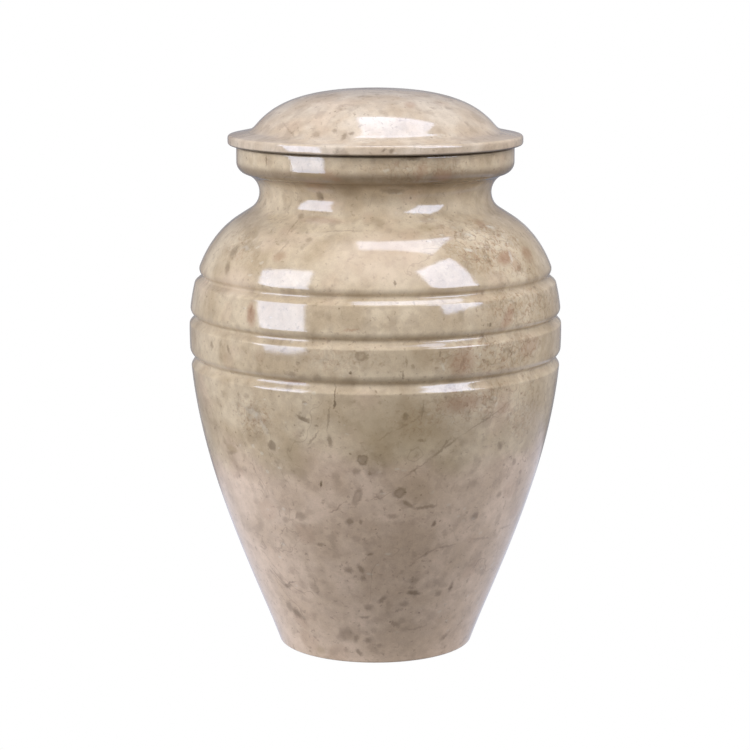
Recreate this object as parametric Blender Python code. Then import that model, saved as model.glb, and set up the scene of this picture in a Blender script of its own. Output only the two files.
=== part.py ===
"""A turned stone urn: a hollow vessel, and a lid that lifts off.

Metres, +Z up. The origin is the middle of the flat underside.
Each piece is a half outline in (radius, height) turned round the upright axis.
"""
import math

import bmesh
import bpy

# Turning and fits
SIDES = 56                  # flat facets round the axis, a multiple of 4
SEAT_GAP = 0.0003           # air between the collar's top and the lid's rim
PLUG_CLEARANCE = 0.0010     # air all round the lid's plug in the mouth
MERGE_DISTANCE = 0.000001   # welds the turned outline where it meets itself
SHARP_ANGLE = math.radians(32)
OUTSIDE_SPANS = 10          # straight stretches that stand for each long curve outside
INSIDE_SPANS = 6            # and for each inside

# Vessel, outside
FOOT_RADIUS = 0.0482
FOOT_ARRIS = 0.0010         # rounding of the edge that the urn stands on
FOOT_LEAN = math.radians(18.7)      # lean of the wall just above the foot, from upright
FOOT_PULL = 0.19            # share of the belly's height that keeps the foot's lean
BELLY_RADIUS = 0.0923
BELLY_HEIGHT = 0.1586
BELLY_PULL_BELOW = 0.40     # share of the belly's height that stays near upright below it
BELLY_PULL_ABOVE = 0.16     # share of the shoulder's rise that stays near upright above it
SHOULDER_PULL = 0.50        # share of the shoulder's rise that keeps the shoulder's slope
SHOULDER_SLOPE = math.radians(57.4)  # slope of the straight shoulder, from upright
SHOULDER_RUN = 0.0074       # length of that straight stretch
NECK_RADIUS = 0.0572
NECK_RISE = 0.0685          # from the belly up to the narrowest point
COVE_RADIUS = 0.0098        # hollow moulding round the neck
COLLAR_PROJECTION = 0.0112  # from the neck's narrowest point out to the collar's face
COLLAR_ROUND = 0.0058       # rounding under the collar
COLLAR_FACE = 0.0080        # upright face above that rounding
COLLAR_ARRIS = 0.0010

# Vessel, the three turned grooves, lowest first
GROOVE_WIDTHS = (0.0069, 0.0060, 0.0060)
GROOVE_PITCH = 0.0201       # upper edge to upper edge
GROOVE_DROP = 0.0098        # from the belly down to the lowest groove's upper edge
GROOVE_DEPTH = 0.0025
GROOVE_BED = 0.0006         # flat at the bottom
GROOVE_BED_SHARE = 0.42     # how far down the groove's width its bed lies
GROOVE_MARGIN = 0.0010      # the outline's own points keep this far from a groove

# Vessel, inside
WALL = 0.0100
FLOOR = 0.0120
NECK_WALL = 0.0152          # stone left between the neck's narrowest point and the mouth
MOUTH_ARRIS = 0.0010
FLOOR_FILLET = 0.0060       # rounding where the inner wall meets the floor

# Lid
RIM_OVERHANG = 0.0042       # how far the lid's rim stands out past the collar
RIM_THICKNESS = 0.0049
RIM_ROUND = 0.0014
LEDGE_WIDTH = 0.0117        # sloping ledge between the rim and the dome
LEDGE_SLOPE = math.radians(11.6)    # from level
DOME_RISE = 0.0202          # from the dome's foot to its top
DOME_LEAN = math.radians(40.5)        # lean of the dome just above its foot, from upright
DOME_PULL = 0.565           # share of the dome's rise that keeps that lean
CROWN_PULL = 0.66           # share of the dome's radius that stays near level
DOME_FILLET = 0.0024        # run of the rounding between ledge and dome
PLUG_DEPTH = 0.0120
PLUG_CHAMFER = 0.0015

# Heights and radii that follow from the sizes above
NECK_HEIGHT = BELLY_HEIGHT + NECK_RISE
COLLAR_RADIUS = NECK_RADIUS + COLLAR_PROJECTION
MOUTH_RADIUS = NECK_RADIUS - NECK_WALL
COVE_CENTRE = (NECK_RADIUS + COVE_RADIUS, NECK_HEIGHT)
# The collar's rounding touches the cove, so their centres lie the two radii apart
COLLAR_CENTRE_RADIUS = COLLAR_RADIUS - COLLAR_ROUND
CENTRES_ACROSS = COLLAR_CENTRE_RADIUS - COVE_CENTRE[0]
CENTRES_UP = math.sqrt((COVE_RADIUS + COLLAR_ROUND) ** 2 - CENTRES_ACROSS ** 2)
COLLAR_CENTRE = (COLLAR_CENTRE_RADIUS, NECK_HEIGHT + CENTRES_UP)
COLLAR_TOP = COLLAR_CENTRE[1] + COLLAR_FACE
RIM_RADIUS = COLLAR_RADIUS + RIM_OVERHANG
RIM_BOTTOM = COLLAR_TOP + SEAT_GAP
RIM_TOP = RIM_BOTTOM + RIM_THICKNESS
DOME_RADIUS = RIM_RADIUS - LEDGE_WIDTH

# Colours, linear
STONE_COLOUR = (0.56, 0.46, 0.34, 1.0)
LID_COLOUR = (0.60, 0.50, 0.37, 1.0)
STONE_ROUGHNESS = 0.12
STONE_METALLIC = 0.0


def clear_scene():
    for thing in list(bpy.data.objects):
        bpy.data.objects.remove(thing, do_unlink=True)


def step_from(point, length, direction):
    """The point that lies a length away along a unit direction."""
    return (point[0] + length * direction[0], point[1] + length * direction[1])


def bezier(start, start_pull, end_pull, end, spans):
    """Points along a cubic curve, both ends included."""
    points = []
    for i in range(spans + 1):
        t = i / spans
        s = 1 - t
        weights = (s ** 3, 3 * s * s * t, 3 * s * t * t, t ** 3)
        knots = (start, start_pull, end_pull, end)
        radius = sum(w * k[0] for w, k in zip(weights, knots))
        height = sum(w * k[1] for w, k in zip(weights, knots))
        points.append((radius, height))
    return points


def arc(centre, radius, start_angle, end_angle, spans):
    """Points along a circular arc, both ends included; angles from level, outwards."""
    points = []
    for i in range(spans + 1):
        angle = start_angle + (end_angle - start_angle) * i / spans
        points.append(step_from(centre, radius, (math.cos(angle), math.sin(angle))))
    return points


def radius_at(points, height):
    """Radius of a rising outline at a height, straight between its points."""
    for (r0, z0), (r1, z1) in zip(points, points[1:]):
        if z0 <= height <= z1:
            return r0 + (r1 - r0) * (height - z0) / (z1 - z0)
    raise ValueError("the outline doesn't reach this height")


def offset_inwards(points, distance):
    """The rising outline moved towards the axis, square to itself."""
    moved = []
    last = len(points) - 1
    for i, point in enumerate(points):
        before = points[max(i - 1, 0)]
        after = points[min(i + 1, last)]
        across = after[0] - before[0]
        up = after[1] - before[1]
        length = math.hypot(across, up)
        moved.append(step_from(point, distance, (-up / length, across / length)))
    return moved


def foot_to_belly(spans):
    foot = (FOOT_RADIUS, 0.0)
    belly = (BELLY_RADIUS, BELLY_HEIGHT)
    lean = (math.sin(FOOT_LEAN), math.cos(FOOT_LEAN))
    foot_pull = step_from(foot, FOOT_PULL * BELLY_HEIGHT, lean)
    belly_pull = (BELLY_RADIUS, BELLY_HEIGHT * (1 - BELLY_PULL_BELOW))
    return bezier(foot, foot_pull, belly_pull, belly, spans)


def belly_to_shoulder(spans):
    """From the belly up to where the straight, sloping shoulder starts."""
    belly = (BELLY_RADIUS, BELLY_HEIGHT)
    slope = (-math.sin(SHOULDER_SLOPE), math.cos(SHOULDER_SLOPE))
    cove_start = arc(COVE_CENTRE, COVE_RADIUS, math.pi + SHOULDER_SLOPE, math.pi, 1)[0]
    shoulder = step_from(cove_start, -SHOULDER_RUN, slope)
    rise = shoulder[1] - BELLY_HEIGHT
    belly_pull = (BELLY_RADIUS, BELLY_HEIGHT + BELLY_PULL_ABOVE * rise)
    shoulder_pull = step_from(shoulder, -SHOULDER_PULL * rise, slope)
    return bezier(belly, belly_pull, shoulder_pull, shoulder, spans)


def smooth_skin(spans):
    """The outside from the foot to the shoulder before the grooves are cut."""
    return foot_to_belly(spans) + belly_to_shoulder(spans)[1:]


def neck_and_collar():
    """The hollow moulding and the collar's rounding, which touch, and its upright face."""
    to_collar = math.atan2(CENTRES_UP, CENTRES_ACROSS)
    points = arc(COVE_CENTRE, COVE_RADIUS, math.pi + SHOULDER_SLOPE, to_collar, 8)
    points += arc(COLLAR_CENTRE, COLLAR_ROUND, to_collar - math.pi, 0.0, 4)[1:]
    corner = (COLLAR_RADIUS - COLLAR_ARRIS, COLLAR_TOP - COLLAR_ARRIS)
    points += arc(corner, COLLAR_ARRIS, 0.0, math.pi / 2, 2)
    return points


def cut_groove(points, upper_edge, width):
    """The outline with one groove in it: a short upper wall, a bed and a long lower bevel."""
    lower_edge = upper_edge - width
    bed = upper_edge - GROOVE_BED_SHARE * width
    bed_radius = radius_at(points, bed) - GROOVE_DEPTH
    below = [p for p in points if p[1] < lower_edge - GROOVE_MARGIN]
    above = [p for p in points if p[1] > upper_edge + GROOVE_MARGIN]
    groove = [
        (radius_at(points, lower_edge), lower_edge),
        (bed_radius, bed - GROOVE_BED / 2),
        (bed_radius, bed + GROOVE_BED / 2),
        (radius_at(points, upper_edge), upper_edge),
    ]
    return below + groove + above


def vessel_hollow():
    """The inside, from the mouth's edge down to the middle of the floor."""
    lip = (MOUTH_RADIUS + MOUTH_ARRIS, COLLAR_TOP - MOUTH_ARRIS)
    points = arc(lip, MOUTH_ARRIS, math.pi / 2, math.pi, 2)
    wall = offset_inwards(smooth_skin(INSIDE_SPANS), WALL)
    wall = [p for p in reversed(wall) if p[1] > FLOOR + FLOOR_FILLET]
    chamber = [p for p in wall if p[0] > MOUTH_RADIUS or p[1] < BELLY_HEIGHT]
    ceiling = chamber[0]
    points.append((MOUTH_RADIUS, ceiling[1] + ceiling[0] - MOUTH_RADIUS))
    points += chamber
    lean = math.atan2(chamber[-2][0] - chamber[-1][0], chamber[-2][1] - chamber[-1][1])
    corner_radius = chamber[-1][0] - (chamber[-1][1] - FLOOR) * math.tan(lean)
    tangent = FLOOR_FILLET * math.tan(math.pi / 4 - lean / 2)
    fillet_centre = (corner_radius - tangent, FLOOR + FLOOR_FILLET)
    points += arc(fillet_centre, FLOOR_FILLET, -lean, -math.pi / 2, 3)
    points.append((0.0, FLOOR))
    return points


def vessel_outline():
    skin = smooth_skin(OUTSIDE_SPANS)
    outside = [p for p in skin if p[1] > FOOT_ARRIS]
    for i, width in enumerate(GROOVE_WIDTHS):
        outside = cut_groove(outside, BELLY_HEIGHT - GROOVE_DROP + i * GROOVE_PITCH, width)
    edge = [(FOOT_RADIUS - FOOT_ARRIS, 0.0), (radius_at(skin, FOOT_ARRIS), FOOT_ARRIS)]
    return [(0.0, 0.0)] + edge + outside + neck_and_collar() + vessel_hollow()


def lid_dome(ledge_edge):
    """From the outer edge of the sloping ledge up to the top of the dome."""
    ledge_run = ledge_edge[0] - DOME_RADIUS
    foot = (DOME_RADIUS, ledge_edge[1] + ledge_run * math.tan(LEDGE_SLOPE))
    down_ledge = (math.cos(LEDGE_SLOPE), -math.sin(LEDGE_SLOPE))
    up_dome = (-math.sin(DOME_LEAN), math.cos(DOME_LEAN))
    spring = step_from(foot, DOME_FILLET, up_dome)
    crown = (0.0, foot[1] + DOME_RISE)
    spring_pull = step_from(spring, DOME_PULL * DOME_RISE, up_dome)
    crown_pull = (CROWN_PULL * DOME_RADIUS, crown[1])
    fillet_start = step_from(foot, DOME_FILLET, down_ledge)
    fillet_radius = DOME_FILLET / math.tan((math.pi / 2 - DOME_LEAN - LEDGE_SLOPE) / 2)
    above_ledge = (math.sin(LEDGE_SLOPE), math.cos(LEDGE_SLOPE))
    fillet_centre = step_from(fillet_start, fillet_radius, above_ledge)
    fillet_end_angle = DOME_LEAN - math.pi
    points = arc(fillet_centre, fillet_radius, -math.pi / 2 - LEDGE_SLOPE, fillet_end_angle, 2)
    return points + bezier(spring, spring_pull, crown_pull, crown, 9)[1:]


def lid_outline():
    plug_radius = MOUTH_RADIUS - PLUG_CLEARANCE
    plug_bottom = COLLAR_TOP - PLUG_DEPTH
    points = [(0.0, plug_bottom)]
    points.append((plug_radius - PLUG_CHAMFER, plug_bottom))
    points.append((plug_radius, plug_bottom + PLUG_CHAMFER))
    points.append((plug_radius, RIM_BOTTOM))
    lower_corner = (RIM_RADIUS - RIM_ROUND, RIM_BOTTOM + RIM_ROUND)
    upper_corner = (RIM_RADIUS - RIM_ROUND, RIM_TOP - RIM_ROUND)
    points += arc(lower_corner, RIM_ROUND, -math.pi / 2, 0.0, 3)
    points += arc(upper_corner, RIM_ROUND, 0.0, math.pi / 2 - LEDGE_SLOPE, 3)
    return points + lid_dome(points[-1])


def stone(name, colour):
    material = bpy.data.materials.new(name)
    material.use_nodes = True
    shader = material.node_tree.nodes["Principled BSDF"]
    shader.inputs["Base Color"].default_value = colour
    shader.inputs["Roughness"].default_value = STONE_ROUGHNESS
    shader.inputs["Metallic"].default_value = STONE_METALLIC
    return material


def turn(name, outline, material):
    """Turn a half outline, which starts and ends on the axis, into a closed piece."""
    shape = bmesh.new()
    rings = [shape.verts.new((radius, 0.0, height)) for radius, height in outline]
    edges = [shape.edges.new(pair) for pair in zip(rings, rings[1:])]
    bmesh.ops.spin(
        shape,
        geom=rings + edges,
        cent=(0.0, 0.0, 0.0),
        axis=(0.0, 0.0, 1.0),
        angle=2 * math.pi,
        steps=SIDES,
        use_merge=True,
    )
    bmesh.ops.remove_doubles(shape, verts=shape.verts, dist=MERGE_DISTANCE)
    bmesh.ops.recalc_face_normals(shape, faces=shape.faces)
    mesh = bpy.data.meshes.new(name)
    shape.to_mesh(mesh)
    shape.free()
    mesh.materials.append(material)
    mesh.shade_smooth()
    mesh.set_sharp_from_angle(angle=SHARP_ANGLE)
    piece = bpy.data.objects.new(name, mesh)
    bpy.context.scene.collection.objects.link(piece)
    return piece


def main():
    clear_scene()
    turn("vessel", vessel_outline(), stone("vessel_stone", STONE_COLOUR))
    turn("lid", lid_outline(), stone("lid_stone", LID_COLOUR))


main()
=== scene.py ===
"""Looks for a turned stone urn: a fine vessel and lid in polished fossil stone, and the stage.

Metres, +Z up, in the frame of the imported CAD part. Laid out as an add-on, run as a script.
"""
import math

import bmesh
import bpy
from bpy.props import FloatProperty, FloatVectorProperty, IntProperty, PointerProperty
from mathutils import Matrix, Vector


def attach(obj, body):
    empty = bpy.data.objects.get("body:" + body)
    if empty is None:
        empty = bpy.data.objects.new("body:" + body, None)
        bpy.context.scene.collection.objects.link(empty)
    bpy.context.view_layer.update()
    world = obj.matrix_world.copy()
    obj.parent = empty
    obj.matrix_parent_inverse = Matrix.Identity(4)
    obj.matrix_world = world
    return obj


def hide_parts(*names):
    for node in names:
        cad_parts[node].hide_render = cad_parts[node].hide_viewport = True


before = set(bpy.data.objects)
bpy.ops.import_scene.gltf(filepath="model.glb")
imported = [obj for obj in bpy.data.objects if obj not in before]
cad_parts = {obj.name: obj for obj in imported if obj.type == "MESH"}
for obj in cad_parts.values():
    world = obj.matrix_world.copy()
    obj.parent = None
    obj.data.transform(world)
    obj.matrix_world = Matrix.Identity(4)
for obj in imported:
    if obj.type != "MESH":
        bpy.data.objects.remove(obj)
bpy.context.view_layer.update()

bl_info = {
    "name": "Turned stone urn",
    "version": (1, 0, 0),
    "blender": (4, 5, 0),
    "location": "3D View > Sidebar > Urn",
    "description": "Adds a polished stone urn with its lid, and a plain stage around it",
    "category": "Add Mesh",
}

# Turning
MERGE_DISTANCE = 0.000001
SHARP_ANGLE = math.radians(32)
QUARTER = math.pi / 2
SKIN_SPANS = 56             # straight spans in each curve of an outline
HOLLOW_SPANS = 24
COVE_SPANS = 36
COLLAR_SPANS = 16
DOME_SPANS = 44
CORNER_SPANS = 7
INNER_RING = 0.9            # where a flat face gets one more ring, as a share of its radius
EDGE_ROOM = 1.2             # room beside a groove's edge, as a share of its rounding
FILLET_ROOM = 1.01          # room beside the dome's fillet, likewise
POINT_ROOM = 0.0002         # nearest that a point of the skin may come to a groove

# Stone; heights from the underside
MILLIMETRE = 0.001
VESSEL_BANDS = (-1, 40, 80, 111, 128, 141.5, 183, 212, 251)     # millimetres, one material each
LID_BANDS = (251, 279)
BORDER = (0.124, 0.140)     # where the lower stone ends and the upper one begins
BORDER_STRAY = 0.05
# Painted sheen: heights where the collar and rim are painted a little paler for the light they
# catch
PAINTED_SHEEN = (0.2380, 0.2420, 0.2562, 0.2580)        # starts, full from, full up to, ends
# Painted shade: heights of the umber darkening in the cove under the collar
PAINTED_SHADE = (0.2325, 0.2365, 0.2400, 0.2440)
# Painted shadow: heights of the dark line in the seam under the rim
SEAM_SHADOW = (0.2488, 0.2499, 0.2507, 0.2514)
MARK_DEPTH = 0.012          # how far a single mark reaches into the stone
MARK_SOFTNESS = (1.35, 0.35)                   # a mark begins and is full, in half lengths
MARK_STRAY = 5.0            # millimetres that its ragged edge may stray
RIM_PLACE, RIM_REACH = 0.85, 0.45              # ring round an eye, in half lengths
RIM_SHARE, EYE_SHARE = 0.6, 0.8

# Stage
FLOOR_REACH = 25.0
FLOOR_LIT = ((0.10, 0.0, 0.0), 0.30, 0.40)     # middle of the lit floor, full up to, ends
FLOOR_SHADED = ((0.0, -0.25, 0.0), 0.12, 0.26)
AHEAD = (0.0, -1.0, 0.0)
AHEAD_REACH = (0.35, 0.95)                     # how far the dark round that direction reaches
BACKDROP_HEIGHT = (0.06, 0.28)                 # the backdrop ends, as a rise of the direction
BEHIND = (-0.05, 0.05)                         # the room in front passes into the room behind
SOFTBOXES = (               # name, centre, right, up, width and height, brightness
    ("left_softbox", (-0.806, -0.472, 0.371), (0.185, -0.197, 0.045), (0.114, 0.207, 0.380),
     (0.55, 0.90), "left_glow"),
    ("right_softbox", (0.578, -0.456, 0.632), (0.088, 0.189, 0.007), (-0.122, 0.039, 0.264),
     (0.42, 0.59), "right_glow"),
    ("top_softbox", (0.246, -0.006, 1.45), (1.0, 0.0, 0.0), (0.0, 1.0, 0.0),
     (0.83, 0.68), "top_glow"),
)
CAMERA_PLACE = (-0.0002, -1.2, 0.347)
CAMERA_DIP = 10.02          # degrees below level
CAMERA_LENS = 117.0
CAMERA_SIGHT = 100.0

# Single marks seen on the front, from the lid down: degrees from the front, height, length and
# width in millimetres, tilt from level in degrees, and strength
MARK_TONES = {
    "flushes": "rose", "stains": "rust", "blots": "olive", "shells": "shell", "ovals": "umber",
    "pits": "umber", "hairlines": "umber", "eyes": "umber",
}
BEDS = (                    # patches of the upper stone that are crowded with small fossils
    (20, 243, 60, 15, 0, 0.6), (46, 206, 80, 38, -20, 0.8), (-56, 206, 40, 20, -20, 0.4),
    (52, 178, 70, 22, 0, 0.75), (38, 158, 110, 20, 0, 0.7), (-8, 158, 50, 13, 0, 0.4),
    (24, 134, 80, 24, 10, 0.65), (52, 130, 34, 38, 0, 0.5), (-40, 128, 28, 22, 0, 0.6),
)
MARKS = {
    "flushes": (
        (3, 205, 56, 34, 0, 0.4), (-42, 208, 9, 12, 40, 0.3), (-22, 226, 14, 7, 0, 0.4),
        (-50, 190, 30, 14, 0, 0.4),
    ),
    "ovals": (
        (2, 276, 3, 6, 0, 0.31), (49, 270, 4, 4, -75, 0.38), (-28, 259, 4, 4, 65, 0.31),
        (-14, 258, 6, 3, 75, 0.44), (28, 238, 16, 20, -40, 0.31),
        (-36, 220, 4.5, 3.5, -45, 0.38), (35, 215, 8, 9, -55, 0.19),
        (-57, 203, 7, 7, -45, 0.5), (-56, 195, 8, 4, -60, 0.38), (-53, 160, 3.5, 2, 55, 0.31),
        (-49, 158, 5, 2, -70, 0.5), (-58, 158, 3.5, 3.5, -70, 0.44), (26, 155, 7, 2, 65, 0.44),
        (-25, 150, 5.5, 2.5, 0, 0.44), (-42, 137, 4, 3, 40, 0.31),
        (14, 134, 4.5, 3.5, -50, 0.38), (-22, 129, 8, 2.5, -20, 0.65),
        (-14, 119, 7, 2.5, -80, 0.5), (-39, 118, 4.5, 7, -70, 0.25),
        (-54, 106, 9, 2.5, 15, 0.38), (-1, 104, 7, 7.5, 15, 0.38),
        (-6, 104, 3.5, 4, -10, 0.31), (43, 112, 5, 3.5, -70, 0.5), (52, 102, 4, 3, -45, 0.44),
        (11, 87, 8, 2.5, -35, 0.5), (17, 85, 12, 2, 5, 0.5), (48, 86, 4, 4, -35, 0.44),
        (-9, 78, 3.5, 5, -30, 0.5), (-5, 78, 2.5, 2, 90, 0.44), (-27, 78, 3, 4.5, -60, 0.31),
        (38, 77, 5, 4, 20, 0.56), (-34, 76, 3.5, 5, -35, 0.31), (-21, 65, 4, 2, -5, 0.44),
        (50, 45, 16, 3, -25, 0.19), (25, 43, 9, 6, 0, 0.19), (-33, 41, 7, 5, -60, 0.25),
        (-27, 40, 7.5, 4.5, -75, 0.25), (-42, 39, 6.5, 2.5, 10, 0.5),
        (17, 39, 7.5, 3, -15, 0.62), (3, 36, 3, 5.5, -45, 0.5), (-46, 27, 4.5, 7, -10, 0.44),
        (-5, 26, 5.5, 2, 0, 0.44), (-42, 24, 9, 5, -40, 0.6), (-15, 16, 8, 9, -5, 0.38),
        (-10, 14, 3, 4.5, -15, 0.44), (-4, 13, 4, 4, 0, 0.5), (40, 11, 4, 5, -50, 0.38),
        (-9, 6, 5, 2.5, -60, 0.5), (15, 249, 8, 2.5, 0, 0.6), (8, 233, 12, 4, 0, 0.5),
        (-13, 233, 14, 7, 0, 0.35), (-27, 230, 4, 5, 0, 0.5), (-25, 211, 4, 3, 0, 0.4),
        (9, 131, 4, 3, 0, 0.6), (-34, 114, 4, 4.5, 0, 0.4), (34, 95, 6, 5, 0, 0.35),
        (-27, 79, 5, 5, 0, 0.35), (-11, 52, 5, 4, -20, 0.5), (-6, 53, 3, 6, 20, 0.45),
        (-5, 48, 3, 4, 0, 0.4), (16, 46, 7, 4, 0, 0.3), (35, 40, 3, 6, 0, 0.5),
        (29, 37, 4, 4, 0, 0.45), (13, 33, 5, 4, 0, 0.35), (-3, 32, 5, 4, 0, 0.4),
        (6, 81, 6, 3, 0, 0.35), (10, 22, 3, 5, 60, 0.35),
    ),
    "pits": (
        (-21, 270, 2, 2.5, 40, 0.25), (51, 263, 3, 2, -90, 0.3),
        (-19, 261, 2.5, 2.5, 35, 0.45), (-11, 260, 2.5, 2, 15, 0.5), (3, 253, 3, 1, 30, 0.6),
        (6, 253, 2.5, 2, 45, 0.6), (-49, 246, 6, 1, -90, 0.6), (-26, 229, 2.5, 1.5, 5, 0.45),
        (-34, 207, 9, 1, 70, 0.3), (6, 193, 2, 1.5, 90, 0.6), (-40, 178, 4.5, 1.5, -90, 0.5),
        (36, 172, 2, 2, -25, 0.7), (-14, 166, 2.5, 1.5, 30, 0.35),
        (19, 160, 3, 1.5, -80, 0.55), (9, 157, 6, 1, -90, 0.4), (11, 155, 2, 2, -55, 0.45),
        (-7, 152, 1.5, 2, -65, 0.9), (8, 151, 4, 1, -90, 0.6), (-12, 142, 9, 1, -90, 0.6),
        (-12, 137, 4, 1.5, -90, 0.8), (21, 139, 3.5, 1.5, -80, 0.5),
        (28, 135, 2.5, 2, -55, 0.5), (9, 132, 3, 2.5, 30, 0.5), (-18, 126, 1.5, 2, -65, 0.5),
        (14, 119, 4, 1.5, -10, 0.5), (22, 117, 7, 1.5, 50, 0.45), (-18, 97, 4, 1.5, 75, 0.8),
        (58, 95, 3, 2.5, -10, 0.35), (21, 76, 2.5, 3.5, -25, 0.6), (-2, 61, 2, 3, -75, 0.45),
        (35, 39, 2, 2.5, -30, 0.4), (2, 10, 2.5, 2.5, 0, 0.35),
    ),
    "hairlines": (
        (-44, 260, 22, 1, -30, 0.25), (-14, 215, 21, 1, 5, 0.3), (14, 134, 8, 1, 85, 0.5),
        (36, 127, 34, 1, 26, 0.35), (-14, 130, 15, 1, 80, 0.35), (22, 115, 18, 1.5, 35, 0.45),
        (12, 130, 8, 1, 40, 0.35), (8, 126, 9, 1, 25, 0.35), (3, 122, 9, 1, 35, 0.35),
        (-19, 120, 10, 1, 50, 0.4), (-13, 85, 11, 1, 40, 0.35), (60, 66, 15, 1.5, -5, 0.25),
        (44, 64, 15, 1.5, -10, 0.25), (28, 63, 11, 1.5, 5, 0.3), (20, 60, 13, 1.5, 30, 0.3),
        (21, 19, 13, 1.5, 10, 0.25), (13, 105, 19, 1, 36, 0.3), (-36, 216, 14, 1, -87, 0.3),
        (-40, 41, 9, 1, 22, 0.5),
    ),
    "stains": (
        (24, 272, 6, 9, -30, 0.35), (-16, 239, 8, 3, -5, 0.3), (-27, 236, 13, 11, 30, 0.35),
        (49, 216, 7, 7, -15, 0.4), (49, 201, 14, 7, 15, 0.65), (63, 201, 8, 11, -80, 0.6),
        (53, 197, 6, 8, -55, 0.35), (-40, 176, 12, 6, -80, 0.65), (43, 174, 15, 6, 50, 0.5),
        (53, 159, 18, 9, 15, 0.35), (26, 156, 14, 14, 40, 0.5), (26, 136, 24, 9, 5, 0.5),
        (30, 136, 9, 7, -15, 0.4), (42, 131, 8, 7, 0, 0.3), (-34, 203, 8, 5, 20, 0.35),
        (-24, 219, 24, 5, 0, 0.3), (-7, 172, 9, 1.5, 5, 0.4), (-25, 146, 14, 2, -5, 0.4),
        (-19, 241, 8, 6, 0, 0.35), (28, 240, 11, 6, 0, 0.4), (18, 243, 6, 9, -30, 0.3),
    ),
    "shells": (
        (53, 214, 5.5, 2.5, -35, 0.5), (38, 212, 6, 2.5, -35, 0.4), (34, 206, 5, 2, -20, 0.5),
        (-51, 205, 6, 2.5, -5, 0.3), (52, 201, 7, 2.5, 75, 0.5), (32, 158, 3, 1, -90, 0.4),
        (20, 154, 4.5, 2, -70, 0.4), (-40, 129, 11, 4, -20, 0.25), (-36, 122, 9, 3, -60, 0.2),
    ),
    "eyes": (
        (-4, 160, 6, 4.5, 10, 0.5), (-40, 129, 9, 9, 0, 0.26), (-51, 206, 6, 6, 0, 0.25),
        (-34, 114, 4.5, 4.5, 0, 0.35), (-4, 110, 5, 5, 0, 0.52), (8, 93, 6, 5, 15, 0.52),
        (-6, 91, 4, 9, -20, 0.33),
    ),
    "blots": (
        (10, 127, 70, 34, 0, 0.5), (-61, 245, 7, 4.5, 5, 0.3), (-53, 108, 11, 4, 0, 0.4),
        (-33, 5, 6, 5, 15, 0.4), (55, 228, 30, 12, 0, 0.3), (20, 96, 60, 34, 0, 0.2),
        (-26, 241, 16, 7, 0, 0.45), (8, 158, 64, 16, 0, 0.35), (63, 200, 30, 26, 0, 0.3),
        (62, 168, 28, 54, 0, 0.35), (58, 132, 26, 30, 0, 0.3), (22, 216, 12, 6, 0, 0.35),
        (-26, 109, 16, 22, 0, 0.3),
    ),
}


def length(name, default, description):
    return FloatProperty(
        name=name, description=description, default=default, min=0.0, precision=5, unit="LENGTH"
    )


def angle(name, degrees, description):
    return FloatProperty(
        name=name, description=description, default=math.radians(degrees), subtype="ANGLE"
    )


def share(name, default, description):
    return FloatProperty(
        name=name, description=description, default=default, min=0.0, max=1.0, subtype="FACTOR"
    )


def paint(name, red, green, blue, description):
    """A colour, given as the 0 to 255 values that a picture editor shows."""
    linear = [to_linear(value / 255) for value in (red, green, blue)]
    return FloatVectorProperty(
        name=name, description=description, default=linear, min=0.0, max=1.0, size=3,
        subtype="COLOR"
    )


def strength(name, default, description):
    return FloatProperty(name=name, description=description, default=default, min=0.0)


def to_linear(value):
    return value / 12.92 if value <= 0.04045 else ((value + 0.055) / 1.055) ** 2.4


class TurningSizes(bpy.types.PropertyGroup):
    """How finely both pieces are turned."""
    sides: IntProperty(name="Sides", description="Flats round the axis", default=200, min=12)
    longest_span: length("Longest span", 0.0024, "Longer straight stretches of an outline are cut")


class VesselSizes(bpy.types.PropertyGroup):
    """Sizes of the hollow vessel."""
    foot_radius: length("Foot radius", 0.0482, "Radius of the edge that the urn stands on")
    foot_round: length("Foot rounding", 0.0012, "Rounding of that edge")
    foot_lean: angle("Foot lean", 18.7, "Lean of the wall above the foot, from upright")
    foot_pull: share("Foot pull", 0.19, "Share of the belly's height that keeps the foot's lean")
    belly_radius: length("Belly radius", 0.0923, "Widest radius")
    belly_height: length("Belly height", 0.1586, "Height of the widest part")
    pull_below: share("Pull below belly", 0.40, "Near upright share below the belly")
    pull_above: share("Pull above belly", 0.16, "Near upright share above the belly")
    shoulder_pull: share("Shoulder pull", 0.50, "Share of its rise that keeps its slope")
    shoulder_slope: angle("Shoulder slope", 57.4, "Slope of the shoulder, from upright")
    shoulder_run: length("Shoulder run", 0.0074, "Straight stretch of the shoulder")
    neck_radius: length("Neck radius", 0.0572, "Narrowest radius of the neck")
    neck_rise: length("Neck rise", 0.0685, "From the belly up to the narrowest part")
    cove_radius: length("Cove radius", 0.0098, "Hollow moulding round the neck")
    collar_projection: length("Collar projection", 0.0112, "From the neck out to the collar")
    collar_round: length("Collar underside", 0.0058, "Rounding under the collar")
    collar_face: length("Collar face", 0.0080, "Upright face above that rounding")
    collar_edge: length("Collar edge", 0.0013, "Rounding of the collar's upper edge")
    wall: length("Wall", 0.0100, "Thickness of the wall")
    floor: length("Floor", 0.0120, "Thickness of the floor")
    floor_fillet: length("Floor fillet", 0.0060, "Rounding where wall and floor meet inside")
    neck_wall: length("Neck wall", 0.0152, "Stone between the neck and the mouth")
    mouth_edge: length("Mouth edge", 0.0010, "Rounding of the mouth's edge")


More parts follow.
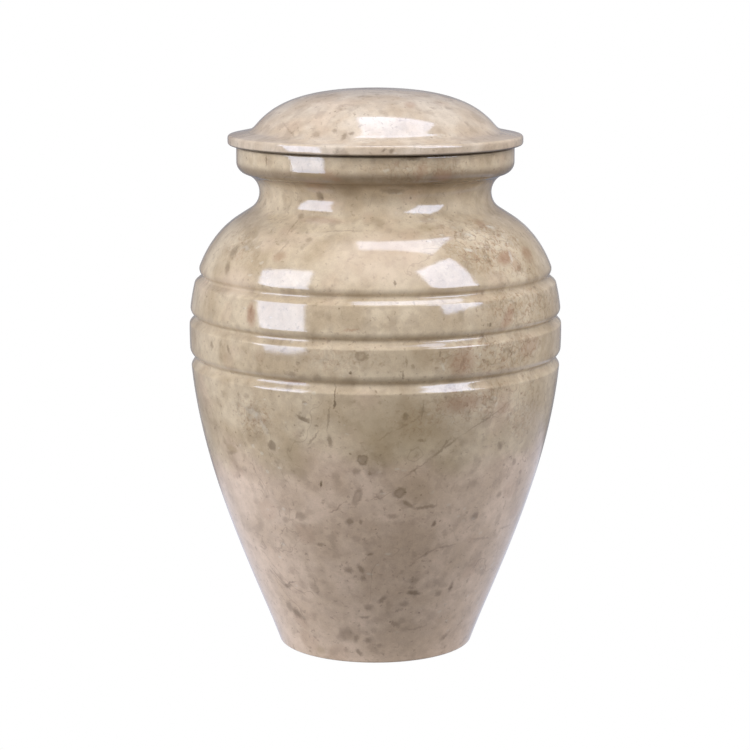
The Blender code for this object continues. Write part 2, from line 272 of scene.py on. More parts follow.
class GrooveSizes(bpy.types.PropertyGroup):
    """Sizes of the three turned grooves."""
    lowest_width: length("Lowest width", 0.0069, "Width of the lowest groove")
    width: length("Width", 0.0060, "Width of the other two grooves")
    pitch: length("Pitch", 0.0201, "From one groove's upper edge to the next one's")
    drop: length("Drop", 0.0098, "From the belly down to the lowest groove's upper edge")
    depth: length("Depth", 0.0025, "Depth of the bed below the skin")
    bed: length("Bed", 0.0010, "Height of the flat bed")
    bed_share: share("Bed place", 0.44, "How far down the groove its bed lies")
    upper_round: length("Upper rounding", 0.0017, "Run of the rounding above the groove")
    lower_round: length("Lower rounding", 0.0005, "Run of the rounding below the groove")
    bed_round: length("Bed rounding", 0.0005, "Run of the rounding beside the bed")


class LidSizes(bpy.types.PropertyGroup):
    """Sizes of the lid."""
    seat_gap: length("Seat gap", 0.0003, "Air between the collar and the lid's rim")
    plug_clearance: length("Plug clearance", 0.0010, "Air round the plug in the mouth")
    rim_overhang: length("Rim overhang", 0.0042, "How far the rim stands out past the collar")
    rim_thickness: length("Rim thickness", 0.0049, "Thickness of the rim")
    rim_round: length("Rim rounding", 0.0014, "Rounding of the rim's two edges")
    ledge_width: length("Ledge width", 0.0117, "Sloping ledge between rim and dome")
    ledge_slope: angle("Ledge slope", 11.6, "Slope of that ledge, from level")
    dome_rise: length("Dome rise", 0.0202, "From the dome's foot to its top")
    dome_lean: angle("Dome lean", 40.5, "Lean of the dome above its foot, from upright")
    dome_pull: share("Dome pull", 0.565, "Share of the dome's rise that keeps that lean")
    crown_pull: share("Crown pull", 0.66, "Share of the dome's radius that stays near level")
    dome_fillet: length("Dome fillet", 0.0024, "Run of the softened corner at the dome's foot")
    plug_depth: length("Plug depth", 0.0120, "From the collar's top down to the plug's end")
    plug_chamfer: length("Plug edge", 0.0015, "Run of the rounding at the plug's end")


class StoneLook(bpy.types.PropertyGroup):
    """Colours and polish of the fossil stone."""
    cream: paint("Cream", 195, 171, 134, "Ground colour of the upper stone")
    sand: paint("Sand", 174, 149, 112, "Darker clouds in the upper stone")
    blush: paint("Blush", 199, 168, 134, "Pinkish clouds")
    pale: paint("Pale", 197, 175, 144, "Ground colour of the lid")
    fawn: paint("Fawn", 181, 156, 123, "Darker clouds in the lid")
    rose: paint("Rose", 205, 176, 143, "Ground colour of the lower stone")
    mauve: paint("Mauve", 187, 159, 126, "Darker clouds in the lower stone")
    umber: paint("Umber", 102, 80, 54, "Dark fossils, pits and hairlines")
    olive: paint("Olive", 152, 127, 88, "Yellowish blots")
    rust: paint("Rust", 146, 104, 72, "Reddish fossils and veins")
    shell: paint("Shell", 205, 192, 164, "Pale bits of shell")
    # A near-black colour painted as shadow in the seam under the rim
    seam_shadow_colour: paint("Seam shadow", 50, 38, 26, "Old dirt in the seam under the rim")
    roughness: share("Roughness", 0.07, "Roughness of the polished face")
    ior: FloatProperty(name="IOR", description="Refractive index of the polish", default=1.5)


class StageLook(bpy.types.PropertyGroup):
    """Colours and strengths of the stage; a strength of 1 is white."""
    light_tint: FloatVectorProperty(
        name="Light tint", description="Colour of the softboxes", default=(0.80, 0.91, 1.21),
        min=0.0, size=3, subtype="COLOR"
    )
    bounce_tint: FloatVectorProperty(
        name="Bounce tint", description="Colour that the room and the floor lend",
        default=(0.87, 0.91, 1.08), min=0.0, size=3, subtype="COLOR"
    )
    left_glow: strength("Left softbox", 7.9, "Brightness of the left softbox")
    right_glow: strength("Right softbox", 9.0, "Brightness of the right softbox")
    top_glow: strength("Top softbox", 5.7, "Brightness of the softbox overhead")
    room_front: strength("Room in front", 0.45, "Brightness of the room before the urn")
    room_ahead: strength("Room ahead", 0.27, "Brightness of the room round the camera")
    room_back: strength("Room behind", 0.30, "Brightness of the room behind the urn")
    backdrop: strength("Backdrop", 0.30, "Brightness of the lit backdrop low behind the urn")
    floor_near: strength("Floor near", 0.80, "Brightness that the floor beside it lends")
    floor_front: strength("Floor in front", 0.03, "Brightness that the floor before it lends")
    floor_far: strength("Floor far", 0.30, "Brightness that the floor farther off lends")


GROUPS = {
    "urn_turning": TurningSizes,
    "urn_vessel": VesselSizes,
    "urn_grooves": GrooveSizes,
    "urn_lid": LidSizes,
    "urn_stone": StoneLook,
    "urn_stage": StageLook,
}


# Outlines


def step_from(point, distance, direction):
    """The point that lies a distance away along a unit direction."""
    return (point[0] + distance * direction[0], point[1] + distance * direction[1])


def bezier(start, start_pull, end_pull, end, spans):
    """Points along a cubic curve, both ends included."""
    points = []
    for i in range(spans + 1):
        t = i / spans
        s = 1 - t
        weights = (s ** 3, 3 * s * s * t, 3 * s * t * t, t ** 3)
        knots = (start, start_pull, end_pull, end)
        points.append(tuple(sum(w * k[axis] for w, k in zip(weights, knots)) for axis in (0, 1)))
    return points


def arc(centre, radius, start_angle, end_angle, spans):
    """Points along a circular arc, both ends included; angles from level, outwards."""
    points = []
    for i in range(spans + 1):
        turn = start_angle + (end_angle - start_angle) * i / spans
        points.append(step_from(centre, radius, (math.cos(turn), math.sin(turn))))
    return points


def radius_at(points, height):
    """Radius of a rising outline at a height."""
    for (r0, z0), (r1, z1) in zip(points, points[1:]):
        if z0 <= height <= z1:
            return r0 + (r1 - r0) * (height - z0) / (z1 - z0)
    raise ValueError("the outline doesn't reach this height")


def offset_inwards(points, distance):
    """The rising outline moved towards the axis, square to itself."""
    moved = []
    last = len(points) - 1
    for i, point in enumerate(points):
        before, after = points[max(i - 1, 0)], points[min(i + 1, last)]
        across, up = after[0] - before[0], after[1] - before[1]
        run = math.hypot(across, up)
        moved.append(step_from(point, distance, (-up / run, across / run)))
    return moved


def neck_places(v):
    """Centres of the neck's cove and of the rounding under the collar, which touch."""
    neck_height = v.belly_height + v.neck_rise
    cove = (v.neck_radius + v.cove_radius, neck_height)
    rounding_radius = v.neck_radius + v.collar_projection - v.collar_round
    across = rounding_radius - cove[0]
    up = math.sqrt((v.cove_radius + v.collar_round) ** 2 - across ** 2)
    return cove, (rounding_radius, neck_height + up)


def collar_top(v):
    return neck_places(v)[1][1] + v.collar_face


def smooth_skin(v, spans):
    """The outside from the foot to the shoulder before the grooves are cut."""
    foot, belly = (v.foot_radius, 0.0), (v.belly_radius, v.belly_height)
    lean = (math.sin(v.foot_lean), math.cos(v.foot_lean))
    foot_pull = step_from(foot, v.foot_pull * v.belly_height, lean)
    below = (v.belly_radius, v.belly_height * (1 - v.pull_below))
    lower = bezier(foot, foot_pull, below, belly, spans)
    slope = (-math.sin(v.shoulder_slope), math.cos(v.shoulder_slope))
    cove = neck_places(v)[0]
    cove_start = arc(cove, v.cove_radius, math.pi + v.shoulder_slope, math.pi, 1)[0]
    shoulder = step_from(cove_start, -v.shoulder_run, slope)
    rise = shoulder[1] - v.belly_height
    above = (v.belly_radius, v.belly_height + v.pull_above * rise)
    shoulder_pull = step_from(shoulder, -v.shoulder_pull * rise, slope)
    return lower + bezier(belly, above, shoulder_pull, shoulder, spans)[1:]


def cut_groove(points, upper_edge, width, g, corners):
    """The outline with one groove in it: a short upper wall, a bed and a long lower bevel."""
    lower_edge = upper_edge - width
    bed = upper_edge - g.bed_share * width
    bed_radius = radius_at(points, bed) - g.depth
    low = lower_edge - EDGE_ROOM * g.lower_round
    high = upper_edge + EDGE_ROOM * g.upper_round
    groove = [
        (radius_at(points, low), low),
        (radius_at(points, lower_edge), lower_edge),
        (bed_radius, bed - g.bed / 2),
        (bed_radius, bed + g.bed / 2),
        (radius_at(points, upper_edge), upper_edge),
        (radius_at(points, high), high),
    ]
    corners[groove[1]] = g.lower_round
    corners[groove[2]] = corners[groove[3]] = g.bed_round
    corners[groove[4]] = g.upper_round
    below = [p for p in points if p[1] < low - POINT_ROOM]
    above = [p for p in points if p[1] > high + POINT_ROOM]
    return below + groove + above


def vessel_hollow(v, corners):
    """The inside, from the mouth's edge down to the middle of the floor."""
    mouth_radius = v.neck_radius - v.neck_wall
    points = [(mouth_radius, collar_top(v))]
    corners[points[0]] = v.mouth_edge
    wall = offset_inwards(smooth_skin(v, HOLLOW_SPANS), v.wall)
    wall = [p for p in reversed(wall) if p[1] > v.floor + v.floor_fillet]
    chamber = [p for p in wall if p[0] > mouth_radius or p[1] < v.belly_height]
    points.append((mouth_radius, chamber[0][1] + chamber[0][0] - mouth_radius))
    points += chamber
    lean = math.atan2(chamber[-2][0] - chamber[-1][0], chamber[-2][1] - chamber[-1][1])
    floor_edge = (chamber[-1][0] - (chamber[-1][1] - v.floor) * math.tan(lean), v.floor)
    corners[floor_edge] = v.floor_fillet * math.tan(math.pi / 4 - lean / 2)
    return points + [floor_edge, (floor_edge[0] / 2, v.floor), (0.0, v.floor)]


def vessel_outline(v, g):
    """The vessel's half outline, and the rounding of its corners."""
    corners = {}
    outside = smooth_skin(v, SKIN_SPANS)[1:]
    for i, width in enumerate((g.lowest_width, g.width, g.width)):
        upper_edge = v.belly_height - g.drop + i * g.pitch
        outside = cut_groove(outside, upper_edge, width, g, corners)
    foot = (v.foot_radius, 0.0)
    corners[foot] = v.foot_round
    cove, rounding = neck_places(v)
    to_collar = math.atan2(rounding[1] - cove[1], rounding[0] - cove[0])
    neck = arc(cove, v.cove_radius, math.pi + v.shoulder_slope, to_collar, COVE_SPANS)
    neck += arc(rounding, v.collar_round, to_collar - math.pi, 0.0, COLLAR_SPANS)[1:]
    collar = (v.neck_radius + v.collar_projection, collar_top(v))
    corners[collar] = v.collar_edge
    underside = [(0.0, 0.0), (INNER_RING * v.foot_radius, 0.0), foot]
    outline = underside + outside + neck + [collar] + vessel_hollow(v, corners)
    return outline, corners


def lid_outline(v, s):
    """The lid's half outline, and the rounding of its corners."""
    top = collar_top(v)
    plug_radius = v.neck_radius - v.neck_wall - s.plug_clearance
    plug_end = (plug_radius, top - s.plug_depth)
    rim_radius = v.neck_radius + v.collar_projection + s.rim_overhang
    rim_bottom = top + s.seat_gap
    lower_edge = (rim_radius, rim_bottom)
    ledge_start = step_from(
        (rim_radius - s.rim_round, rim_bottom + s.rim_thickness - s.rim_round),
        s.rim_round,
        (math.sin(s.ledge_slope), math.cos(s.ledge_slope)),
    )
    rise = math.tan(s.ledge_slope)
    upper_edge = (rim_radius, ledge_start[1] - (rim_radius - ledge_start[0]) * rise)
    dome_radius = rim_radius - s.ledge_width
    foot = (dome_radius, ledge_start[1] + (ledge_start[0] - dome_radius) * rise)
    up_dome = (-math.sin(s.dome_lean), math.cos(s.dome_lean))
    spring = step_from(foot, FILLET_ROOM * s.dome_fillet, up_dome)
    crown = (0.0, foot[1] + s.dome_rise)
    spring_pull = step_from(spring, s.dome_pull * s.dome_rise, up_dome)
    crown_pull = (s.crown_pull * dome_radius, crown[1])
    corners = {
        plug_end: s.plug_chamfer,
        lower_edge: s.rim_round,
        upper_edge: s.rim_round * math.tan(math.pi / 4 - s.ledge_slope / 2),
        foot: s.dome_fillet,
    }
    outline = [(0.0, plug_end[1]), (INNER_RING * plug_radius, plug_end[1]), plug_end]
    outline += [(plug_radius, rim_bottom), lower_edge, upper_edge, foot]
    return outline + bezier(spring, spring_pull, crown_pull, crown, DOME_SPANS), corners


def turn(name, outline, corners, turning):
    """Turn a half outline round the upright axis into a closed piece with rounded corners."""
    shape = bmesh.new()
    knots = [shape.verts.new((radius, 0.0, height)) for radius, height in outline]
    for pair in zip(knots, knots[1:]):
        shape.edges.new(pair)
    for run in sorted(set(corners.values())):
        rounded = [knot for knot, point in zip(knots, outline) if corners.get(point) == run]
        bmesh.ops.bevel(
            shape, geom=rounded, offset=run, offset_type="OFFSET", segments=CORNER_SPANS,
            profile=0.5, affect="VERTICES", material=-1
        )
    off_axis = [e for e in shape.edges if min(v.co.x for v in e.verts) > MERGE_DISTANCE]
    for edge in off_axis:
        cuts = int(edge.calc_length() / turning.longest_span)
        if cuts:
            bmesh.ops.subdivide_edges(shape, edges=[edge], cuts=cuts)
    bmesh.ops.spin(
        shape, geom=shape.verts[:] + shape.edges[:], cent=(0.0, 0.0, 0.0), axis=(0.0, 0.0, 1.0),
        angle=QUARTER, steps=turning.sides // 4
    )
    for quarter_turns in (1, 2):
        copy = bmesh.ops.duplicate(shape, geom=shape.verts[:] + shape.edges[:] + shape.faces[:])
        copied = [part for part in copy["geom"] if isinstance(part, bmesh.types.BMVert)]
        turned = Matrix.Rotation(quarter_turns * QUARTER, 3, "Z")
        bmesh.ops.rotate(shape, verts=copied, cent=(0.0, 0.0, 0.0), matrix=turned)
    bmesh.ops.remove_doubles(shape, verts=shape.verts, dist=MERGE_DISTANCE)
    bmesh.ops.recalc_face_normals(shape, faces=shape.faces)
    mesh = bpy.data.meshes.new(name)
    shape.to_mesh(mesh)
    shape.free()
    mesh.shade_smooth()
    mesh.set_sharp_from_angle(angle=SHARP_ANGLE)
    piece = bpy.data.objects.new(name, mesh)
    bpy.context.scene.collection.objects.link(piece)
    return piece


# Materials


def add(tree, kind, inputs=None, **options):
    """Add a shader node, set its options, and fill its inputs with values or links."""
    made = tree.nodes.new("ShaderNode" + kind)
    for option, value in options.items():
        setattr(made, option, value)
    for socket, value in (inputs or {}).items():
        if isinstance(value, bpy.types.NodeSocket):
            tree.links.new(value, made.inputs[socket])
        else:
            made.inputs[socket].default_value = value
    return made


def tone(colour):
    return (*colour, 1.0)


def noise(tree, where, scale, detail=2.0, distortion=0.0, output="Fac"):
    inputs = {"Vector": where, "Scale": scale, "Detail": detail, "Distortion": distortion}
    return add(tree, "TexNoise", inputs).outputs[output]


def ramp(tree, value, low, high, start=0.0, end=1.0):
    """The value carried from the range low to high on to start to end, with soft ends."""
    inputs = {"Value": value, "From Min": low, "From Max": high, "To Min": start, "To Max": end}
    return add(tree, "MapRange", inputs, interpolation_type="SMOOTHSTEP").outputs["Result"]


def calculate(tree, operation, first, second=0.0):
    return add(tree, "Math", {0: first, 1: second}, operation=operation).outputs[0]


def blend(tree, factor, first, second, mode="MIX"):
    """Mix two colours; each may be a colour or a link."""
    inputs = {0: factor, 6: first, 7: second}
    return add(tree, "Mix", inputs, data_type="RGBA", blend_type=mode).outputs[2]


def wander(tree, where, scale, amount):
    """The place, led astray by a soft noise of that scale."""
    stray = noise(tree, where, scale, 2.0, output="Color")
    inputs = {0: stray, 1: (amount,) * 3, 2: (-amount / 2,) * 3}
    stray = add(tree, "VectorMath", inputs, operation="MULTIPLY_ADD").outputs[0]
    return add(tree, "VectorMath", {0: where, 1: stray}, operation="ADD").outputs[0]


def cells(tree, where, scale, stretch=(1.0, 1.0, 1.0), turn=(0.0, 0.0, 0.0)):
    """Distance from the middle of the nearest cell, and three random values of that cell."""
    inputs = {"Vector": where, "Scale": stretch, "Rotation": turn}
    laid = add(tree, "Mapping", inputs).outputs[0]
    found = add(tree, "TexVoronoi", {"Vector": laid, "Scale": scale})
    chance = add(tree, "SeparateColor", {0: found.outputs["Color"]}).outputs
    return found.outputs["Distance"], chance


def scattered(tree, where, scale, rare, largest, soft, **laid):
    """Blots in some of the cells: their mask, and another random value of each cell."""
    distance, chance = cells(tree, where, scale, **laid)
    reach = ramp(tree, chance[0], rare, 1.0, 0.0, largest)
    return ramp(tree, calculate(tree, "SUBTRACT", reach, distance), 0.0, soft), chance[1]


def skin_frame(outline, azimuth, height):
    """The point of the outside at an azimuth from the front, with its sideways, up and out."""
    crossings = []
    for (r0, z0), (r1, z1) in zip(outline, outline[1:]):
        if min(z0, z1) <= height <= max(z0, z1) and z0 != z1:
            crossings.append((r0 + (r1 - r0) * (height - z0) / (z1 - z0), r1 - r0, z1 - z0))
    radius, across, up = max(crossings)
    away = Vector((math.sin(azimuth), -math.cos(azimuth), 0.0))
    sideways = Vector((math.cos(azimuth), math.sin(azimuth), 0.0))
    out = (away * abs(up) - Vector((0.0, 0.0, math.copysign(across, across * up)))).normalized()
    return away * radius + Vector((0.0, 0.0, height)), sideways, out.cross(sideways), out


def marks_mask(tree, where, marks, outline, eyes=False):
    """How strongly a set of single marks shows at each place, from 0 to 1."""
    strongest = 0.0
    for azimuth, height, run, width, tilt, strength in marks:
        tilt = math.radians(tilt)
        centre, sideways, up, out = skin_frame(outline, math.radians(azimuth), height * MILLIMETRE)
        along = sideways * math.cos(tilt) + up * math.sin(tilt)
        turned = Matrix((along, out.cross(along), out)).transposed()
        half = (run * MILLIMETRE / 2, width * MILLIMETRE / 2, MARK_DEPTH)
        inputs = {"Vector": where, "Location": centre, "Scale": half}
        inputs["Rotation"] = turned.to_euler()
        laid = add(tree, "Mapping", inputs, vector_type="TEXTURE").outputs[0]
        reach = add(tree, "VectorMath", {0: laid}, operation="LENGTH").outputs["Value"]
        mask = ramp(tree, reach, *MARK_SOFTNESS, 0.0, strength)
        if eyes:
            rim = calculate(tree, "ABSOLUTE", calculate(tree, "SUBTRACT", reach, RIM_PLACE))
            rim = ramp(tree, rim, RIM_REACH, 0.0, 0.0, RIM_SHARE * strength)
            mask = calculate(tree, "ADD", rim, calculate(tree, "MULTIPLY", mask, EYE_SHARE))
        strongest = calculate(tree, "MAXIMUM", mask, strongest)
    return strongest


def both(tree, first, second):
    return calculate(tree, "MULTIPLY", first, second)


def off_middle(tree, value):
    """How far a noise value lies from its middle; near 0 it draws contour lines."""
    return calculate(tree, "ABSOLUTE", calculate(tree, "SUBTRACT", value, 0.5))


def zone(tree, height, heights, most):
    """A ring round the piece that starts, is full from, is full up to and ends at heights."""
    starts, full_from, full_to, ends = heights
    lower = ramp(tree, height, starts, full_from)
    return both(tree, lower, ramp(tree, height, ends, full_to, 0.0, most))


def near_heights(marks, lowest, highest):
    """Those of the marks that reach in between two heights in millimetres."""
    found = []
    for mark in marks:
        height, run, width, tilt = mark[1:5]
        tilt = math.radians(tilt)
        rise = math.hypot(run * math.sin(tilt), width * math.cos(tilt)) / 2
        reach = MARK_SOFTNESS[0] * rise + MARK_STRAY
        if lowest - reach < height < highest + reach:
            found.append(mark)
    return found


def two_stones(tree, place, loose, close, height, look, above):
    """Ground: two stones that meet in a ragged border, each clouded, flushed and mottled."""
    clouds = ramp(tree, noise(tree, loose, 48.0, 3.0), 0.34, 0.66)
    upper = blend(tree, clouds, tone(above[0]), tone(above[1]))
    lower = blend(tree, clouds, tone(look.rose), tone(look.mauve))
    stray = both(tree, noise(tree, place, 26.0, 4.0), BORDER_STRAY)
    border = calculate(tree, "ADD", height, stray)
    ground = blend(tree, ramp(tree, border, *BORDER), lower, upper)
    flush = ramp(tree, noise(tree, place, 34.0, 2.0), 0.56, 0.72, 0.0, 0.35)
    ground = blend(tree, flush, ground, tone(look.blush))
    mottle = ramp(tree, noise(tree, close, 230.0, 3.0), 0.30, 0.70, 1.05, 0.93)
    return blend(tree, 1.0, ground, mottle, "MULTIPLY")


def small_fossils(tree, ground, place, loose, close, ragged, look):
    """Fossils everywhere: ghosts, blotches, spots, ovals, flecks of shell, specks, hairlines."""
    umber = tone(look.umber)
    ghosts = scattered(tree, loose, 60.0, 0.45, 0.42, 0.14)[0]
    ground = blend(tree, both(tree, ghosts, 0.14), ground, tone(look.rust))
    blotches = ramp(tree, noise(tree, close, 130.0, 5.0), 0.53, 0.66, 0.0, 0.18)
    ground = blend(tree, blotches, ground, umber)
    spots = ramp(tree, noise(tree, ragged, 420.0, 2.0), 0.60, 0.74, 0.0, 0.32)
    ground = blend(tree, spots, ground, umber)
    ovals, chance = scattered(tree, ragged, 150.0, 0.62, 0.40, 0.22, stretch=(1.0, 1.0, 0.7))
    shade = both(tree, ovals, ramp(tree, chance, 0.0, 1.0, 0.06, 0.26))
    ground = blend(tree, shade, ground, umber)
    patches = ramp(tree, noise(tree, place, 30.0, 2.0), 0.50, 0.62, 0.0, 0.28)
    laid = {"stretch": (0.5, 1.0, 1.0), "turn": (0.5, 0.7, 0.9)}
    flecks = scattered(tree, close, 330.0, 0.55, 0.34, 0.08, **laid)[0]
    ground = blend(tree, both(tree, flecks, patches), ground, tone(look.shell))
    specks, chance = scattered(tree, close, 420.0, 0.84, 0.30, 0.12)
    shade = both(tree, specks, ramp(tree, chance, 0.0, 1.0, 0.12, 0.50))
    ground = blend(tree, shade, ground, umber)
    line = off_middle(tree, noise(tree, place, 20.0, 4.0, 0.6))
    line = ramp(tree, line, 0.0050, 0.0008, 0.0, 0.28)
    broken = ramp(tree, noise(tree, place, 32.0, 2.0), 0.52, 0.60)
    return blend(tree, both(tree, line, broken), ground, umber)


def crowded_beds(tree, ground, close, beds, look):
    """Beds crowded with small fossils: reddish, dark and pale bits, and curled lines."""
    bits = noise(tree, close, 500.0, 3.0, 0.8)
    for low, high, most, colour in (
        (0.50, 0.66, 0.52, look.rust), (0.48, 0.34, 0.24, look.shell),
        (0.58, 0.72, 0.32, look.umber)
    ):
        shade = both(tree, beds, ramp(tree, bits, low, high, 0.0, most))
        ground = blend(tree, shade, ground, tone(colour))
    curl = ramp(tree, off_middle(tree, noise(tree, close, 110.0, 2.0)), 0.026, 0.004, 0.0, 0.4)
    return blend(tree, both(tree, beds, curl), ground, tone(look.umber))


def paint_sheen_and_shade(tree, ground, height, look):
    """Painted light: the rim and collar painted paler, painted shade under the collar and in the
    seam.
    """
    # Painted sheen: the collar and rim made a little paler, standing in for the light they reflect
    sheen_factor = calculate(tree, "ADD", zone(tree, height, PAINTED_SHEEN, 0.06), 1.0)
    ground = blend(tree, 1.0, ground, sheen_factor, "MULTIPLY")
    # Painted shade: umber darkening in the cove under the collar, where shade falls
    ground = blend(tree, zone(tree, height, PAINTED_SHADE, 0.60), ground, tone(look.umber))
    # Painted shadow: a near-black line on the collar's top edge and the rim's underside
    return blend(tree, zone(tree, height, SEAM_SHADOW, 0.78), ground, tone(look.seam_shadow_colour))


def stone(name, look, above, outline, marks, lowest, highest):
    """Polished fossil stone, with those of the marks that show between two heights."""
    material = bpy.data.materials.new(name)
    material.use_nodes = True
    tree = material.node_tree
    shader = tree.nodes["Principled BSDF"]
    place = add(tree, "TexCoord").outputs["Object"]
    height = add(tree, "SeparateXYZ", {0: place}).outputs["Z"]
    loose = wander(tree, place, 55.0, 0.010)
    close = wander(tree, place, 300.0, 0.0020)
    ragged = wander(tree, close, 900.0, 0.0016)

    ground = two_stones(tree, place, loose, close, height, look, above)
    grain = noise(tree, place, 1400.0, 2.0)
    ground = blend(tree, 1.0, ground, ramp(tree, grain, 0.25, 0.75, 0.95, 1.04), "MULTIPLY")
    ground = small_fossils(tree, ground, place, loose, close, ragged, look)
    beds = near_heights(BEDS, lowest, highest)
    if beds:
        ground = crowded_beds(tree, ground, close, marks_mask(tree, loose, beds, outline), look)
    # Painted sheen on the rim and collar, painted shade under the collar and painted shadow in the
    # seam
    ground = paint_sheen_and_shade(tree, ground, height, look)
    for kind, all_marks in marks.items():
        here = near_heights(all_marks, lowest, highest)
        if here:
            mask = marks_mask(tree, ragged, here, outline, kind == "eyes")
            ground = blend(tree, mask, ground, tone(getattr(look, MARK_TONES[kind])))

    tree.links.new(ground, shader.inputs["Base Color"])
    polish = ramp(tree, grain, 0.3, 0.7, 0.8 * look.roughness, 1.3 * look.roughness)
    tree.links.new(polish, shader.inputs["Roughness"])
    shader.inputs["IOR"].default_value = look.ior
    ripple = add(tree, "Bump", {"Strength": 0.08, "Distance": 0.0002, "Height": grain})
    tree.links.new(ripple.outputs[0], shader.inputs["Normal"])
    return material


def dress(piece, look, above, outline, bands):
    """Give each height band of a piece its stone; above are its two main colours."""
    marks = {kind: [m for m in MARKS[kind] if bands[0] < m[1] < bands[-1]] for kind in MARKS}
    for i, band in enumerate(zip(bands, bands[1:])):
        name = f"{piece.name}_stone_{i + 1}"
        piece.data.materials.append(stone(name, look, above, outline, marks, *band))
    for face in piece.data.polygons:
        height = face.center.z / MILLIMETRE
        face.material_index = sum(height > border for border in bands[1:-1])


def finish_piece(piece, node):
    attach(piece, "root")
    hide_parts(node)


class URN_OT_vessel(bpy.types.Operator):
    """Turn the hollow vessel with its three grooves, neck and collar"""
    bl_idname = "urn.vessel"
    bl_label = "Vessel"

    def execute(self, context):
        scene = context.scene
        outline, corners = vessel_outline(scene.urn_vessel, scene.urn_grooves)
        vessel = turn("fine_vessel", outline, corners, scene.urn_turning)
        look = scene.urn_stone
        dress(vessel, look, (look.cream, look.sand), outline, VESSEL_BANDS)
        finish_piece(vessel, "vessel")
        return {"FINISHED"}


class URN_OT_lid(bpy.types.Operator):
    """Turn the domed lid with its rim and plug"""
    bl_idname = "urn.lid"
    bl_label = "Lid"

    def execute(self, context):
        scene = context.scene
        outline, corners = lid_outline(scene.urn_vessel, scene.urn_lid)
        lid = turn("fine_lid", outline, corners, scene.urn_turning)
        look = scene.urn_stone
        dress(lid, look, (look.pale, look.fawn), outline, LID_BANDS)
        finish_piece(lid, "lid")
        return {"FINISHED"}


# Stage


def bare_tree(holder):
    """The holder's node tree with nothing in it."""
    holder.use_nodes = True
    holder.node_tree.nodes.clear()
    return holder.node_tree


def softbox(name, centre, right, up, size, glow, tint):
    """An area light whose face is spanned by two directions."""
    data = bpy.data.lights.new(name, "AREA")
    data.shape = "RECTANGLE"
    data.size, data.size_y = size
    data.energy = glow * math.pi * size[0] * size[1]
    data.color = tint
    lamp = bpy.data.objects.new(name, data)
    right, up = Vector(right).normalized(), Vector(up).normalized()
    back = right.cross(up).normalized()
    turned = Matrix((right, back.cross(right), back)).transposed().to_4x4()
    lamp.matrix_world = Matrix.Translation(centre) @ turned
    lamp.visible_camera = False
    bpy.context.scene.collection.objects.link(lamp)


def distance_from(tree, place, point):
    return add(tree, "VectorMath", {0: place, 1: point}, operation="DISTANCE").outputs["Value"]


def lay_floor(look):
    """A floor that the camera sees as white; it lends less light just before the urn."""
    shape = bmesh.new()
    bmesh.ops.create_circle(shape, cap_ends=True, segments=64, radius=FLOOR_REACH)
    mesh = bpy.data.meshes.new("floor")
    shape.to_mesh(mesh)
    shape.free()
    floor = bpy.data.objects.new("floor", mesh)
    bpy.context.scene.collection.objects.link(floor)
    material = bpy.data.materials.new("floor")
    tree = bare_tree(material)
    place = add(tree, "TexCoord").outputs["Object"]
    lit, lit_full, lit_end = FLOOR_LIT
    shaded, shade_full, shade_end = FLOOR_SHADED
    from_shade = distance_from(tree, place, shaded)
    near = ramp(tree, from_shade, shade_full, shade_end, look.floor_front, look.floor_near)
    away = ramp(tree, distance_from(tree, place, lit), lit_full, lit_end)
    lent = add(tree, "Mix", {0: away, 2: near, 3: look.floor_far}, data_type="FLOAT").outputs[0]
    lent = add(tree, "Emission", {"Color": tone(look.bounce_tint), "Strength": lent})
    shown = add(tree, "Emission", {"Color": (1.0, 1.0, 1.0, 1.0)})
    seen = add(tree, "LightPath").outputs["Is Camera Ray"]
    mixed = add(tree, "MixShader", {0: seen, 1: lent.outputs[0], 2: shown.outputs[0]})
    add(tree, "OutputMaterial", {"Surface": mixed.outputs[0]})
    mesh.materials.append(material)


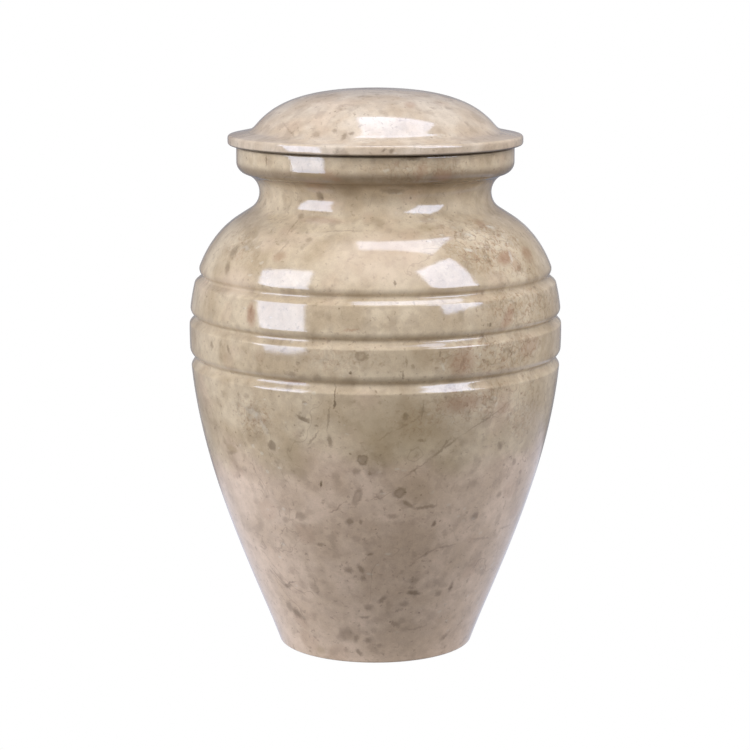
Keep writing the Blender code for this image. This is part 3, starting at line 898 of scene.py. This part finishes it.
def surround(scene, look):
    """A dim room that the camera sees as white."""
    world = bpy.data.worlds.new("room")
    tree = bare_tree(world)
    around = add(tree, "TexCoord").outputs["Generated"]
    direction = add(tree, "SeparateXYZ", {0: around}).outputs
    behind = ramp(tree, direction["Z"], *BACKDROP_HEIGHT, look.backdrop, look.room_back)
    from_ahead = distance_from(tree, around, AHEAD)
    before = ramp(tree, from_ahead, *AHEAD_REACH, look.room_ahead, look.room_front)
    dim = ramp(tree, direction["Y"], *BEHIND, before, behind)
    dim = add(tree, "Background", {"Color": tone(look.bounce_tint), "Strength": dim})
    white = add(tree, "Background", {"Color": (1.0, 1.0, 1.0, 1.0), "Strength": 1.0})
    seen = add(tree, "LightPath").outputs["Is Camera Ray"]
    mixed = add(tree, "MixShader", {0: seen, 1: dim.outputs[0], 2: white.outputs[0]})
    add(tree, "OutputWorld", {"Surface": mixed.outputs[0]})
    scene.world = world


class URN_OT_stage(bpy.types.Operator):
    """Add the floor, the room, the softboxes and the camera"""
    bl_idname = "urn.stage"
    bl_label = "Stage"

    def execute(self, context):
        scene = context.scene
        look = scene.urn_stage
        lay_floor(look)
        surround(scene, look)
        for name, centre, right, up, size, glow in SOFTBOXES:
            softbox(name, centre, right, up, size, getattr(look, glow), look.light_tint)
        scene.view_settings.view_transform = "Standard"
        data = bpy.data.cameras.new("camera")
        data.lens = CAMERA_LENS
        data.clip_end = CAMERA_SIGHT
        camera = bpy.data.objects.new("camera", data)
        camera.location = CAMERA_PLACE
        camera.rotation_euler = (math.radians(90 - CAMERA_DIP), 0.0, 0.0)
        scene.collection.objects.link(camera)
        scene.camera = camera
        return {"FINISHED"}


class URN_PT_panel(bpy.types.Panel):
    """Lists the urn's pieces and its stage"""
    bl_idname = "URN_PT_panel"
    bl_label = "Stone urn"
    bl_space_type = "VIEW_3D"
    bl_region_type = "UI"
    bl_category = "Urn"

    def draw(self, context):
        column = self.layout.column()
        for operator in OPERATORS:
            column.operator(operator.bl_idname, text=operator.bl_label)
        for name, group in GROUPS.items():
            box = self.layout.box()
            settings = getattr(context.scene, name)
            for field in group.__annotations__:
                box.prop(settings, field)


OPERATORS = (URN_OT_vessel, URN_OT_lid, URN_OT_stage)
CLASSES = tuple(GROUPS.values()) + OPERATORS + (URN_PT_panel,)


def register():
    for cls in CLASSES:
        bpy.utils.register_class(cls)
    for name, group in GROUPS.items():
        setattr(bpy.types.Scene, name, PointerProperty(type=group))


def unregister():
    for name in GROUPS:
        delattr(bpy.types.Scene, name)
    for cls in reversed(CLASSES):
        bpy.utils.unregister_class(cls)


def main():
    register()
    bpy.ops.urn.vessel()
    bpy.ops.urn.lid()
    bpy.ops.urn.stage()


if __name__ == "__main__":
    main()
